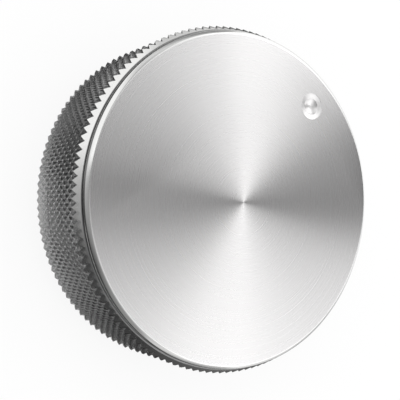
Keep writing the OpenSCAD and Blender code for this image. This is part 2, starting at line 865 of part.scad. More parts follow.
// Drawn shell with side flanges on the board and four legs through it
module usb_shell() {
    color("silver") difference() {
        union() {
            socket_bar(usb_w, usb_h, usb_back_y, usb_front_y);
            for (share = usb_legs_y_share) {
                y0 = usb_back_y + share * usb_l - usb_leg_w / 2;
                translate([-usb_leg_x, y0, board_top_z]) cube([2 * usb_leg_x, usb_leg_w, usb_leg_t]);
                for (side = [-1, 1])
                    translate([side * (usb_leg_x - usb_leg_t / 2) - usb_leg_t / 2, y0, board_z - usb_leg_low])
                        cube([usb_leg_t, usb_leg_w, board_t + usb_leg_low + usb_leg_t / 2]);
            }
        }
        socket_bar(usb_in_w, usb_in_h, usb_back_y - cut_over, usb_front_y + cut_over);
    }
}

// Insulator: a plug that closes the shell's back, a collar, and the contact tongue
module usb_tongue() {
    plug_back_y = usb_back_y + usb_back_t;
    color("black") union() {
        socket_bar(usb_in_w - 2 * slide_fit, usb_in_h - 2 * slide_fit, usb_back_y, plug_back_y);
        translate([-tongue_collar_w / 2, usb_back_y + usb_back_t / 2, usb_z - tongue_collar_t / 2])
            cube([tongue_collar_w, usb_back_t / 2 + tongue_collar_l, tongue_collar_t]);
        translate([-tongue_w / 2, usb_back_y + usb_back_t / 2, usb_z - tongue_t / 2])
            cube([tongue_w, usb_l - usb_back_t / 2 - tongue_set, tongue_t]);
    }
}

module board_screws() {
    color("silver") on_circle(board_screw_pcd, 2)
        translate([0, 0, board_z]) pan_screw(board_t + board_screw_bite);
}

// Shell of the housing in section: wall, rebate for the plate, and the deck with its round edge
module housing_section() {
    difference() {
        union() {
            translate([0, plate_z]) square([base_r, deck_top_z - deck_fillet - plate_z]);
            translate([0, deck_top_z - 2 * deck_fillet]) square([base_r - deck_fillet, 2 * deck_fillet]);
            translate([base_r - deck_fillet, deck_top_z - deck_fillet]) circle(deck_fillet);
        }
        translate([0, plate_z - cut_over]) square([rebate_r, plate_t + cut_over]);
        translate([0, plate_z]) square([base_in_r, mount_z - plate_z]);
        translate([0, mount_z - cut_over]) square([deck_hole_r, deck_t + 2 * cut_over]);
    }
}

module base_housing() {
    color("#2b2d30") difference() {
        union() {
            rotate_extrude() housing_section();
            on_circle(plate_screw_pcd, plate_screw_count, 45)
                translate([0, 0, plate_top_z])
                    cylinder(r = plate_post_r, h = mount_z - plate_top_z + deck_t / 2);
            on_circle(board_screw_pcd, 2)
                translate([0, 0, board_top_z])
                    cylinder(r = board_post_r, h = mount_z - board_top_z + deck_t / 2);
            difference() {
                translate([0, 0, mount_z - deck_rib_h])
                    cylinder(r = deck_rib_r + deck_rib_w, h = deck_rib_h + deck_t / 2);
                translate([0, 0, mount_z - deck_rib_h - cut_over])
                    cylinder(r = deck_rib_r, h = deck_rib_h + deck_t);
            }
        }
        on_circle(plate_screw_pcd, plate_screw_count, 45)
            translate([0, 0, plate_top_z - cut_over])
                cylinder(r = plate_screw_r + thread_fit, h = plate_screw_bite + pilot_deeper + cut_over);
        on_circle(board_screw_pcd, 2)
            translate([0, 0, board_top_z - cut_over])
                cylinder(r = screw_r + thread_fit, h = board_screw_bite + pilot_deeper + cut_over);
        translate([-flat_half_w, flat_y, plate_z - cut_over])
            cube([2 * flat_half_w, base_r, flat_top_z - plate_z + cut_over]);
        socket_bar(usb_w + 2 * usb_window_fit, usb_h + 2 * usb_window_fit, usb_back_y, base_r + cut_over);
    }
}

module bottom_plate() {
    groove_in = foot_t - foot_proud;
    color("slategray") difference() {
        translate([0, 0, plate_z]) cylinder(r = plate_r, h = plate_t);
        translate([0, 0, plate_z - cut_over]) difference() {
            cylinder(r = foot_out_r + foot_fit, h = groove_in + cut_over);
            translate([0, 0, -cut_over]) cylinder(r = foot_in_r - foot_fit, h = groove_in + 3 * cut_over);
        }
        on_circle(plate_screw_pcd, plate_screw_count, 45) translate([0, 0, plate_z]) {
            translate([0, 0, -cut_over])
                cylinder(r = plate_screw_r + slide_fit, h = plate_t + 2 * cut_over);
            cylinder(r1 = plate_head_r + slide_fit, r2 = plate_screw_r + slide_fit, h = plate_head_t);
        }
    }
}

module base_screws() {
    color("silver") on_circle(plate_screw_pcd, plate_screw_count, 45)
        translate([0, 0, plate_z]) difference() {
            union() {
                cylinder(r1 = plate_head_r, r2 = plate_screw_r, h = plate_head_t);
                cylinder(r = plate_screw_r, h = plate_t + plate_screw_bite);
            }
            translate([0, 0, -cut_over])
                cylinder(r = screw_slot_r, h = screw_slot_depth + cut_over, $fn = 6);
        }
}

module foot_ring() {
    color("#1d1d1f") rotate_extrude() polygon([
        [foot_in_r + foot_chamfer, 0],
        [foot_out_r - foot_chamfer, 0],
        [foot_out_r, foot_chamfer],
        [foot_out_r, foot_t],
        [foot_in_r, foot_t],
        [foot_in_r, foot_chamfer]
    ]);
}

knob_shell();
knob_hub();
hub_screws();
encoder_shaft();
retaining_clip();
code_disc();
switch_plunger();
switch_dome();
encoder_body();
encoder_bushing();
encoder_frame();
click_spring();
wiper_contacts();
encoder_terminals();
lock_washer();
mounting_nut();
circuit_board();
controller_chip();
crystal();
chip_parts();
usb_shell();
usb_tongue();
board_screws();
base_housing();
bottom_plate();
base_screws();
foot_ring();
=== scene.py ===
# %% [markdown]
# # A desk volume knob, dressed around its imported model
#
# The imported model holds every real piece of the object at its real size: the knob, the encoder
# that it turns and presses, the board, the socket and the base. Here each piece gets the finish
# of its own material, and the pieces that the eye reads first are modelled again with the fine
# edges and the fine knurl that a turned part has. Everything is in metres, with the desk at
# z = 0 and the knob's axis on Z.

import math

import bmesh
import bpy
from mathutils import Matrix, Vector


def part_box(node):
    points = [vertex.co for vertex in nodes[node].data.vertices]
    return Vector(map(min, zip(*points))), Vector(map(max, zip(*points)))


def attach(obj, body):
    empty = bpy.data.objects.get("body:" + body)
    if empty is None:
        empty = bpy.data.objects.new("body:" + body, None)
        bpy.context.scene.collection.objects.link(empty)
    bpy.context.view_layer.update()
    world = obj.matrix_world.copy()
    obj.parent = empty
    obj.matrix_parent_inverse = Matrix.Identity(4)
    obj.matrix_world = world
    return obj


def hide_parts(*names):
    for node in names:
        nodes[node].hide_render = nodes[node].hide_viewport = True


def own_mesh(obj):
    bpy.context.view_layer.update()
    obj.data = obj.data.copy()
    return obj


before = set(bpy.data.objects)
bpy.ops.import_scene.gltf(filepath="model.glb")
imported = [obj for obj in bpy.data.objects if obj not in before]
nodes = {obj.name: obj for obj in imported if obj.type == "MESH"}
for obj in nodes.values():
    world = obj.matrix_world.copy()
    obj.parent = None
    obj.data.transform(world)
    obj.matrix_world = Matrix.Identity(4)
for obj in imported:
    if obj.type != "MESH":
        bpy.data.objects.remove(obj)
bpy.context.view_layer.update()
MM = 0.001

# %% [markdown]
# ## The camera
#
# The photograph looks at the knob from its left and from well above, about 34 degrees off the
# knob's axis. A camera is fully told by its place, the three directions of its picture (right,
# up, ahead), its focal length and where its axis meets the picture. Writing the three
# directions down is clearer than three angles, because each can be checked against an edge in
# the picture. The lens shift moves the picture without turning the camera.

# %% Camera
SENSOR_W = 36
FOCAL = 64.81
SHIFT = (-0.055, 0.16)
CLIP = (1 * MM, 10)
CAMERA_AT = Vector((-71.22, -2.82, 128.87)) * MM
AHEAD = Vector((0.5495, -0.0627, -0.8332)).normalized()
RIGHT = Vector((0.8351, 0.0109, 0.5499))

camera = bpy.data.objects.new("camera", bpy.data.cameras.new("camera"))
bpy.context.scene.collection.objects.link(camera)
right = (RIGHT - AHEAD * RIGHT.dot(AHEAD)).normalized()
up = right.cross(AHEAD)
directions = Matrix((right, up, -AHEAD)).transposed().to_4x4()
camera.matrix_world = Matrix.Translation(CAMERA_AT) @ directions
camera.data.sensor_width = SENSOR_W
camera.data.lens = FOCAL
camera.data.shift_x, camera.data.shift_y = SHIFT
camera.data.clip_start, camera.data.clip_end = CLIP
bpy.context.scene.camera = camera
print("camera looks down by", round(math.degrees(math.asin(-AHEAD.z)), 1), "degrees")

# %% [markdown]
# ## Helpers for modelling by hand
#
# A turned part is easiest to build the way a lathe hand thinks of it: start with a round face,
# then let its edge run on, ring after ring, to a new radius and a new height. `start_disc`
# makes the round face, and `ring` extrudes the open edge and scales it about the axis.
# `choose` selects by place, because code can't click. Two lengths that differ by less than
# `TOUCH`, a hundredth of a millimetre, count as the same.

# %% Modelling helpers
TOUCH = 0.01 * MM
WELD = 0.001 * MM
SHARP_ANGLE = math.radians(25)
loop = {}


def deselect():
    """Leaves nothing selected in object mode."""
    bpy.ops.object.select_all(action="DESELECT")


def choose(test, kind="VERT"):
    """In edit mode, selects the vertices, edges or faces whose place passes the test."""
    bpy.ops.mesh.select_mode(type=kind)
    bpy.ops.mesh.select_all(action="DESELECT")
    mesh = bmesh.from_edit_mesh(bpy.context.object.data)
    if kind == "VERT":
        for v in mesh.verts:
            v.select_set(test(v.co))
    if kind == "EDGE":
        for e in mesh.edges:
            e.select_set(all(test(v.co) for v in e.verts))
    if kind == "FACE":
        for f in mesh.faces:
            f.select_set(test(f.calc_center_median()))
    bmesh.update_edit_mesh(bpy.context.object.data)


def radius_of(co, axis=(0, 0)):
    """Distance of a point from an upright axis."""
    return math.hypot(co.x - axis[0], co.y - axis[1])


def near(value, goal):
    """True where two lengths count as the same."""
    return abs(value - goal) < TOUCH


def start_disc(name, radius, z, sides, axis=(0, 0)):
    """A flat round face in a new object, left in edit mode with its edge selected."""
    deselect()
    bpy.ops.mesh.primitive_circle_add(
        vertices=sides, radius=radius, fill_type="NGON", location=(axis[0], axis[1], z)
    )
    made = bpy.context.object
    made.name = made.data.name = name
    bpy.ops.object.transform_apply(location=True, rotation=True, scale=True)
    bpy.ops.object.mode_set(mode="EDIT")
    bpy.ops.mesh.select_mode(type="EDGE")
    bpy.ops.mesh.select_all(action="SELECT")
    loop.update(radius=radius, z=z, axis=axis)
    return made


def ring(radius, z):
    """Runs the open edge on to a new radius and height."""
    bpy.ops.mesh.extrude_edges_move(TRANSFORM_OT_translate={"value": (0, 0, z - loop["z"])})
    share = radius / loop["radius"]
    bpy.ops.transform.resize(value=(share, share, 1), center_override=(*loop["axis"], z))
    loop.update(radius=radius, z=z)


def soften(radius, z, width, segments=3):
    """Rounds the sharp ring at a radius and height."""
    choose(lambda co: near(radius_of(co), radius) and near(co.z, z), "EDGE")
    bpy.ops.mesh.bevel(offset=width, segments=segments, profile=0.5, affect="EDGES")


def finish(piece):
    """Ends edit mode, points the faces outwards and smooths all but the sharp edges."""
    if bpy.context.object.mode == "EDIT":
        bpy.ops.mesh.select_mode(type="VERT")
        bpy.ops.mesh.select_all(action="SELECT")
        bpy.ops.mesh.remove_doubles(threshold=WELD)
        bpy.ops.mesh.normals_make_consistent(inside=False)
        bpy.ops.object.mode_set(mode="OBJECT")
    deselect()
    piece.select_set(True)
    bpy.context.view_layer.objects.active = piece
    bpy.ops.object.shade_smooth_by_angle(angle=SHARP_ANGLE)
    deselect()
    print(piece.name, len(piece.data.polygons), "faces")


# %% [markdown]
# ## The knob's shell
#
# The real shell is turned from one bar. A form tool presses the diamond knurl into the skirt.
# Then the lathe turns the flat face, its thin bright chamfer, a nearly upright wall, the fine
# groove under that wall and the sloping shoulder, which cuts the last row of diamonds into a
# zigzag. The mesh follows the finished part: rings from the face outwards and down, then up
# into the bore, and after that the diamonds.
#
# A knurl could be a texture with bump, but at the edge of the picture its teeth show against
# the pale floor, so it is real geometry. Two columns of points a tooth and one row for each
# half diamond are enough: pushing every second point out to the tip radius turns the plain
# skirt into pyramids. The numbers come from the knurl itself, 1.2 mm between grooves that
# lean 30 degrees.

# %% Sizes of the shell
shell_low, shell_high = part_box("knob_shell")
TIP_R = (shell_high.x - shell_low.x) / 2
FACE_Z, RIM_Z = shell_high.z, shell_low.z
FACE_R = TIP_R - 1.75 * MM
CHAMFER_R, CHAMFER_LOW_Z = FACE_R + 0.57 * MM, FACE_Z - 0.32 * MM
SHOULDER_W, SHOULDER_H = 0.9 * MM, 1.55 * MM
SHOULDER_R, SHOULDER_Z = TIP_R - SHOULDER_W, FACE_Z - 1.25 * MM
WALL_R, WALL_LOW_Z = SHOULDER_R - 0.16 * MM, SHOULDER_Z + 0.26 * MM
GROOVE_R = WALL_R - 0.4 * MM
GROOVE_LEAN = 0.02 * MM
BORE_R = TIP_R - 3.5 * MM
WEB_Z = FACE_Z - 3 * MM
# The corner between bore and web, the narrow slope under the knurl and the lead-in of the bore.
FILLET, FILLET_STEPS = 0.8 * MM, 4
LIP_W, LEAD_IN = 0.2 * MM, 0.4 * MM
print("face", round(2 * FACE_R / MM, 2), "mm and tips", round(2 * TIP_R / MM, 2), "mm across")

# %% Sizes of the knurl
KNURL_PITCH = 1.2 * MM
KNURL_ANGLE = math.radians(30)
KNURL_DEPTH = 0.5 * MM
ROOT_R = TIP_R - KNURL_DEPTH
KNURL_TOP_Z = SHOULDER_Z - SHOULDER_H
ROOT_TOP_Z = KNURL_TOP_Z + KNURL_DEPTH * SHOULDER_H / SHOULDER_W
KNURL_LOW_Z = RIM_Z + 0.5 * MM
TEETH = round(2 * math.pi * TIP_R * math.cos(KNURL_ANGLE) / KNURL_PITCH)
COLUMNS = 2 * TEETH
MEAN_TOP_Z = (KNURL_TOP_Z + ROOT_TOP_Z) / 2
MEAN_LOW_Z = (KNURL_LOW_Z + RIM_Z) / 2
ROWS = round((MEAN_TOP_Z - MEAN_LOW_Z) / (KNURL_PITCH / math.sin(KNURL_ANGLE) / 2))
ROW_H = (MEAN_TOP_Z - MEAN_LOW_Z) / ROWS
TIP_FLAT = 0.26 * MM
ROOT_BREAK = 0.3 * MM
print("knurl:", TEETH, "teeth and", ROWS, "rows of half diamonds")

# %% Turn the shell
shell = start_disc("knob_turned_shell", FACE_R, FACE_Z, sides=COLUMNS)
ring(CHAMFER_R, CHAMFER_LOW_Z)
ring(WALL_R, WALL_LOW_Z)
ring(GROOVE_R, WALL_LOW_Z - GROOVE_LEAN)
ring(GROOVE_R, SHOULDER_Z)
ring(SHOULDER_R, SHOULDER_Z)
for row in range(ROWS + 1):
    ring(ROOT_R, MEAN_TOP_Z - row * ROW_H)
ring(ROOT_R - LIP_W, RIM_Z)
ring(BORE_R + LEAD_IN, RIM_Z)
ring(BORE_R, RIM_Z + LEAD_IN)
for step in range(FILLET_STEPS + 1):
    turn = math.pi / 2 * step / FILLET_STEPS
    ring(BORE_R - FILLET + FILLET * math.cos(turn), WEB_Z - FILLET + FILLET * math.sin(turn))
bpy.ops.mesh.edge_face_add()
print("turned", len(bmesh.from_edit_mesh(shell.data).faces), "faces so far")

# %% [markdown]
# ### Press the knurl
#
# First every tip point moves out. Then each square of the skirt is split along its shorter
# diagonal, which always joins two roots, because the roots lie nearer the axis. That diagonal
# is the groove. The first and the last row are slid onto the shoulder's cone and the lower
# chamfer last of all, so that the rule of the shorter diagonal holds for them too. No knurl
# has needle points, so each tip gets a small flat, and the notches of the zigzag are rounded.


# %% Knurl
def is_tip(co):
    """Tips and roots alternate round each row, and from row to row."""
    row = round((MEAN_TOP_Z - co.z) / ROW_H)
    column = round(math.atan2(co.y, co.x) / (2 * math.pi / COLUMNS))
    return (column + row) % 2 == 0


def on_skirt(co):
    """True for the points of the knurl's rows, before they are pushed."""
    return near(radius_of(co), ROOT_R) and MEAN_LOW_Z - TOUCH < co.z < MEAN_TOP_Z + TOUCH


choose(lambda co: on_skirt(co) and is_tip(co))
out = TIP_R / ROOT_R
bpy.ops.transform.resize(value=(out, out, 1), center_override=(0, 0, 0))
choose(lambda co: radius_of(co) > ROOT_R - LIP_W and MEAN_LOW_Z < co.z < MEAN_TOP_Z, "FACE")
bpy.ops.mesh.quads_convert_to_tris(quad_method="SHORTEST_DIAGONAL", ngon_method="BEAUTY")
for z, tip_z, root_z in ((MEAN_TOP_Z, KNURL_TOP_Z, ROOT_TOP_Z), (MEAN_LOW_Z, KNURL_LOW_Z, RIM_Z)):
    for radius, goal in ((TIP_R, tip_z), (ROOT_R, root_z)):
        choose(lambda co: near(radius_of(co), radius) and near(co.z, z))
        bpy.ops.transform.translate(value=(0, 0, goal - z))
inner_low_z, inner_top_z = KNURL_LOW_Z + TOUCH, KNURL_TOP_Z - TOUCH
choose(lambda co: radius_of(co) > TIP_R - TOUCH and inner_low_z < co.z < inner_top_z)
bpy.ops.mesh.bevel(offset=TIP_FLAT, affect="VERTICES")
choose(lambda co: near(radius_of(co), ROOT_R) and near(co.z, ROOT_TOP_Z))
bpy.ops.mesh.bevel(offset=ROOT_BREAK, segments=2, affect="VERTICES")
print("knurled", len(bmesh.from_edit_mesh(shell.data).faces), "faces so far")

# %% [markdown]
# ### Break the sharp edges
#
# A turned edge is never perfectly sharp. A tenth of a millimetre of roundness catches the thin
# bright lines that run along the chamfer and the groove. A bevel on the chosen rings alone
# does that, where one over the whole piece would blur the knurl as well.

# %% Edges of the rim
for radius, z, width in (
    (FACE_R, FACE_Z, 0.12 * MM),
    (CHAMFER_R, CHAMFER_LOW_Z, 0.1 * MM),
    (WALL_R, WALL_LOW_Z, 0.08 * MM),
    (SHOULDER_R, SHOULDER_Z, 0.08 * MM),
):
    soften(radius, z, width)
finish(shell)

# %% [markdown]
# ### Sink the dimple
#
# The fingertip dimple is a shallow cone with a ball-shaped bowl in its middle, as its form tool
# leaves it. That tool is turned here in the same way as the shell, and a boolean modifier takes
# it out of the face. Cutting gives the clean rim that pushing points down wouldn't.

# %% Dimple
DIMPLE_R, DIMPLE_WAY = TIP_R - 6.92 * MM, math.radians(50)
DIMPLE_AT = (DIMPLE_R * math.cos(DIMPLE_WAY), DIMPLE_R * math.sin(DIMPLE_WAY))
CONE_R, CONE_DEPTH = 2.3 * MM, 0.22 * MM
BOWL_R, BOWL_DEPTH, BOWL_STEPS = 1.5 * MM, 0.6 * MM, 12
BALL_R = (BOWL_R**2 + BOWL_DEPTH**2) / (2 * BOWL_DEPTH)
EDGE_BREAK, CLEAR = 0.04 * MM, 0.06 * MM
cutter_r = CONE_R + EDGE_BREAK + CLEAR
cutter = start_disc("dimple_cutter", cutter_r, FACE_Z + CLEAR, sides=128, axis=DIMPLE_AT)
ring(CONE_R, FACE_Z - EDGE_BREAK)
ring(BOWL_R + EDGE_BREAK, FACE_Z - CONE_DEPTH + EDGE_BREAK / 4)
opening = math.asin(BOWL_R / BALL_R)
for step in range(BOWL_STEPS):
    turn = opening * (1 - step / BOWL_STEPS)
    depth = CONE_DEPTH + BOWL_DEPTH - BALL_R * (1 - math.cos(turn))
    ring(BALL_R * math.sin(turn), FACE_Z - depth)
bpy.ops.mesh.edge_face_add()
finish(cutter)
cut = shell.modifiers.new("dimple", "BOOLEAN")
cut.operation = "DIFFERENCE"
cut.object = cutter
deselect()
bpy.context.view_layer.objects.active = shell
bpy.ops.object.modifier_apply(modifier=cut.name)
bpy.data.objects.remove(cutter)
finish(shell)
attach(shell, "knob")
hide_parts("knob_shell")

# %% [markdown]
# ## The snap dome
#
# Under the shaft lies the snap dome that gives the push its click: a thin cap of spring steel,
# which flattens by half a millimetre as the knob goes down. The imported model keeps it rigid, and
# so does this one, turned again here like the shell.

# %% Snap dome
snap_low, snap_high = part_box("switch_dome")
SNAP_R, SNAP_TOP_R = (snap_high.x - snap_low.x) / 2, 1.2 * MM
SNAP_T = 0.12 * MM
SNAP_ROUND = 0.3 * MM
dome = start_disc("snap_dome", SNAP_TOP_R, snap_high.z, sides=64)
ring(SNAP_R, snap_low.z + SNAP_T)
ring(SNAP_R, snap_low.z)
ring(SNAP_R - SNAP_T, snap_low.z)
ring(SNAP_TOP_R, snap_high.z - SNAP_T)
bpy.ops.mesh.edge_face_add()
soften(SNAP_TOP_R, snap_high.z, SNAP_ROUND, segments=4)
finish(dome)
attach(dome, "base")
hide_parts("switch_dome")
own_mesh(dome)

# %% [markdown]
# ## Helpers for materials
#
# Colours are written as sRGB hex, as a paint chart gives them, and turned to linear light by
# one function. `add` puts one shader node down with its settings and its links, so a material
# reads as a short list. A noise texture keeps nearly all its values between 0.3 and 0.7, so
# that span is stretched wherever noise sets a roughness or a tone.

# %% Material helpers
NOISE_SPAN = {"from_min": 0.3, "from_max": 0.7}


def colour(text):
    """Linear colour of an sRGB hex value."""
    parts = [int(text[i : i + 2], 16) / 255 for i in (1, 3, 5)]
    return [c / 12.92 if c <= 0.04045 else ((c + 0.055) / 1.055) ** 2.4 for c in parts] + [1]


def darker(text, share):
    """The colour of an sRGB hex value with a share of its light."""
    return [c * share for c in colour(text)[:3]] + [1]


def add(tree, kind, links=None, **settings):
    """One shader node with its settings, and links given as {input: output}."""
    made = tree.nodes.new("ShaderNode" + kind)
    for name, value in settings.items():
        label = name.replace("_", " ").title()
        if label in made.inputs:
            made.inputs[label].default_value = value
        else:
            setattr(made, name, value)
    for name, output in (links or {}).items():
        tree.links.new(output, made.inputs[name])
    return made


def material(name):
    """A new node material with nothing in it, and its tree."""
    made = bpy.data.materials.new(name)
    made.use_nodes = True
    made.node_tree.nodes.clear()
    return made, made.node_tree


def dress(node, made):
    """Puts a material on a CAD node."""
    mesh = nodes[node].data
    mesh.materials.clear()
    mesh.materials.append(made)


def paint(piece, made, test=None):
    """Gives a material to the faces whose middle passes the test, or to all faces."""
    if made.name not in piece.data.materials:
        piece.data.materials.append(made)
    index = piece.data.materials.find(made.name)
    for face in piece.data.polygons:
        if test is None or test(face.center):
            face.material_index = index


# %% [markdown]
# ## Spun aluminium
#
# The face was spun: an abrasive pad was held against it as it turned, which leaves fine rings.
# Light spreads across the rings and not along them, so the face shows bright and dark cones
# that meet at its centre. The shader does the same with full anisotropy, whose direction at
# each point is the direction away from the axis. A ring pattern, made from the distance to the
# axis, drives the bump. Real pad marks lie some hundredths of a millimetre apart, too fine for
# the picture, so the widest are drawn a sixth of a millimetre apart.
#
# The cones keep the same tone from the centre to the edge, as on a face that came off the lathe
# a hair hollow. A hollow in the mesh would change the part, so the shader leans the normal
# instead: a height that grows with the square of the distance gives a slope that grows with
# the distance, up to 0.07, or 4 degrees, at the edge.

# %% Spun face
RINGS_PER_MM = 6


def spun(name, shade, rough, bump, hollow):
    """Aluminium with fine rings round the axis; hollow is the slope of the face at its edge."""
    made, tree = material(name)
    place = add(tree, "TexCoord").outputs["Object"]
    flat = add(tree, "VectorMath", {0: place}, operation="MULTIPLY")
    flat.inputs[1].default_value = (1, 1, 0)
    away = add(tree, "VectorMath", {0: flat.outputs[0]}, operation="LENGTH").outputs["Value"]
    rings = add(
        tree,
        "TexNoise",
        {"W": away},
        noise_dimensions="1D",
        scale=RINGS_PER_MM / MM,
        detail=3,
        roughness=0.7,
    )
    square = add(tree, "Math", {0: away, 1: away}, operation="MULTIPLY")
    dish = add(tree, "Math", {0: square.outputs[0]}, operation="MULTIPLY")
    dish.inputs[1].default_value = hollow / (2 * FACE_R)
    leaned = add(tree, "Bump", {"Height": dish.outputs[0]}, strength=1, distance=1)
    height = add(
        tree,
        "Bump",
        {"Height": rings.outputs["Fac"], "Normal": leaned.outputs[0]},
        strength=bump,
        distance=0.01 * MM,
    )
    shine = add(
        tree,
        "MapRange",
        {"Value": rings.outputs["Fac"]},
        to_min=rough * 0.9,
        to_max=rough * 1.1,
        **NOISE_SPAN,
    )
    shader = add(
        tree,
        "BsdfPrincipled",
        {"Tangent": flat.outputs[0], "Normal": height.outputs[0], "Roughness": shine.outputs[0]},
        base_color=colour(shade),
        metallic=1,
        anisotropic=1,
    )
    add(tree, "OutputMaterial", {"Surface": shader.outputs[0]})
    return made


# Spun aluminium: the eye reads cones of light that stay put while the knob turns.
face_metal = spun("spun aluminium", "#f0efef", 0.29, 0.06, 0.07)
print(face_metal.name, len(face_metal.node_tree.nodes), "nodes")

# %% [markdown]
# ## Turned and knurled aluminium
#
# The chamfer, the wall and the shoulder come bright from a sharp tool, almost a mirror with a
# hint of tool lines. The knurl was pressed and not cut, so it is rougher, and its grey is painted
# darker than the rim's as painted shade. The groove is dull and painted dark grey as painted
# shade in its recess. The dimple has the satin of a ball-nosed mill, and the bore is left as it
# was bored. All are one metal, so one recipe makes them, and what differs is how bright, how
# rough and how deeply marked each of them is.

# %% Rim, knurl and bore
GRAINS_PER_MM = 2.5


def aluminium(name, shade, rough, lines_per_mm, bump, depth=0.01 * MM):
    """Bare aluminium with fine lines round the axis and a grain."""
    made, tree = material(name)
    place = add(tree, "TexCoord").outputs["Object"]
    upward = add(tree, "SeparateXYZ", {0: place}).outputs["Z"]
    lines = add(
        tree, "TexNoise", {"W": upward}, noise_dimensions="1D", scale=lines_per_mm / MM, detail=2
    )
    grain = add(tree, "TexNoise", {"Vector": place}, scale=GRAINS_PER_MM / MM, detail=3)
    both = add(tree, "Math", {0: lines.outputs["Fac"], 1: grain.outputs["Fac"]}, operation="ADD")
    height = add(tree, "Bump", {"Height": both.outputs[0]}, strength=bump, distance=depth)
    shine = add(
        tree,
        "MapRange",
        {"Value": grain.outputs["Fac"]},
        to_min=rough * 0.85,
        to_max=rough * 1.15,
        **NOISE_SPAN,
    )
    shader = add(
        tree,
        "BsdfPrincipled",
        {"Normal": height.outputs[0], "Roughness": shine.outputs[0]},
        base_color=colour(shade),
        metallic=1,
    )
    add(tree, "OutputMaterial", {"Surface": shader.outputs[0]})
    return made


# Sharp bright and dark lines, like a mirror's.
rim_metal = aluminium("turned aluminium", "#f0f0ef", 0.16, 9, 0.05)
# Grey diamonds with a lighter glint on each tip; their grey, darker than the rim's, is painted
# shade.
shaded_knurl_metal = aluminium("knurled aluminium", "#c2c2c2", 0.19, 4, 0.6, depth=0.05 * MM)
# A pale, soft bowl.
dimple_metal = aluminium("milled aluminium", "#f8f7f7", 0.4, 6, 0.05)
# Painted shade: the groove's dark grey stands for the shade in it, a thin dark line with no glint.
groove_shade_metal = aluminium("aluminium with painted groove shade", "#8c8c8c", 0.35, 5, 0.2)
# A plain grey inside.
bore_metal = aluminium("bored aluminium", "#cfcfcd", 0.35, 5, 0.2)

# %% [markdown]
# ### Each finish in its place
#
# One piece of metal carries six finishes, as it does on the lathe, where each tool touches its
# own part; the knurl's and the groove's darker greys are painted shade. A face of the mesh takes
# its finish from where its middle lies. The whole shell is painted as bored first, and each later
# finish goes over the one before.

# %% Paint the shell
MARGIN = 0.05 * MM


def in_skirt(co):
    """Faces of the knurl: outside the bore and under the shoulder's cone."""
    cone_r = SHOULDER_R + (SHOULDER_Z - co.z) * SHOULDER_W / SHOULDER_H
    return co.z < SHOULDER_Z and BORE_R + LEAD_IN < radius_of(co) < cone_r - 2 * TOUCH


def in_groove(co):
    """Faces inside the groove: its roof, its wall and its floor."""
    mouth_r = WALL_R if co.z > SHOULDER_Z + TOUCH else SHOULDER_R
    in_height = SHOULDER_Z - TOUCH < co.z < WALL_LOW_Z
    return in_height and BORE_R < radius_of(co) < mouth_r - MARGIN


def in_dimple(co):
    """Faces inside the dimple, over the web that it is sunk into."""
    return radius_of(co, DIMPLE_AT) < CONE_R + MARGIN and co.z > WEB_Z + TOUCH


for metal, test in (
    (bore_metal, None),
    (rim_metal, lambda co: co.z > KNURL_TOP_Z),
    (shaded_knurl_metal, in_skirt),
    (groove_shade_metal, in_groove),
    (face_metal, lambda co: co.z > FACE_Z - WELD),
    (dimple_metal, in_dimple),
):
    paint(shell, metal, test)
print("shell has", len(shell.data.materials), "finishes")

# %% [markdown]
# ## Plain metals and mouldings
#
# The other pieces are bought parts and mouldings. Each family has one recipe with its own
# settings, taken from what the real material is and how its surface was made. A plated or
# rolled metal has a fine grain and faint clouds. A moulded plastic copies the sparked or
# blasted skin of its mould.

# %% Recipes
CLOUDS_PER_MM = 0.12


def plated(name, shade, rough, grain_mm, bump=0.15, vary=0.06):
    """A plated, cast or rolled metal with a fine grain."""
    made, tree = material(name)
    place = add(tree, "TexCoord").outputs["Object"]
    grain = add(tree, "TexNoise", {"Vector": place}, scale=1 / (grain_mm * MM), detail=3)
    cloud = add(tree, "TexNoise", {"Vector": place}, scale=CLOUDS_PER_MM / MM, detail=2)
    tone = add(
        tree, "MapRange", {"Value": cloud.outputs["Fac"]}, to_min=1 - vary, to_max=1, **NOISE_SPAN
    )
    tint = add(tree, "Mix", {0: tone.outputs[0]}, data_type="RGBA")
    tint.inputs[6].default_value = darker(shade, 1 - vary * 4)
    tint.inputs[7].default_value = colour(shade)
    height = add(tree, "Bump", {"Height": grain.outputs["Fac"]}, strength=bump, distance=0.02 * MM)
    shine = add(
        tree,
        "MapRange",
        {"Value": grain.outputs["Fac"]},
        to_min=rough * 0.8,
        to_max=rough * 1.2,
        **NOISE_SPAN,
    )
    shader = add(
        tree,
        "BsdfPrincipled",
        {"Base Color": tint.outputs[2], "Normal": height.outputs[0], "Roughness": shine.outputs[0]},
        metallic=1,
    )
    add(tree, "OutputMaterial", {"Surface": shader.outputs[0]})
    return made


def moulded(name, shade, rough, grain_mm, bump=0.3, light=None):
    """A moulded plastic or rubber, whose skin copies the texture of the mould."""
    made, tree = material(name)
    place = add(tree, "TexCoord").outputs["Object"]
    grain = add(
        tree, "TexNoise", {"Vector": place}, scale=1 / (grain_mm * MM), detail=4, roughness=0.6
    )
    tint = add(tree, "Mix", {0: grain.outputs["Fac"]}, data_type="RGBA")
    tint.inputs[6].default_value = darker(shade, 0.8)
    tint.inputs[7].default_value = colour(light or shade)
    height = add(tree, "Bump", {"Height": grain.outputs["Fac"]}, strength=bump, distance=0.05 * MM)
    shine = add(
        tree,
        "MapRange",
        {"Value": grain.outputs["Fac"]},
        to_min=rough * 0.85,
        to_max=min(1, rough * 1.15),
        **NOISE_SPAN,
    )
    shader = add(
        tree,
        "BsdfPrincipled",
        {"Base Color": tint.outputs[2], "Normal": height.outputs[0], "Roughness": shine.outputs[0]},
    )
    add(tree, "OutputMaterial", {"Surface": shader.outputs[0]})
    return made


# %% [markdown]
# ### The materials of the bought parts
#
# Each line is one real material: its colour, its roughness and the size of its grain in
# millimetres. Plating is bright and smooth, a casting is rougher and greyer. Most mouldings
# are nearly black or muted, and the rubber is the dullest of all.

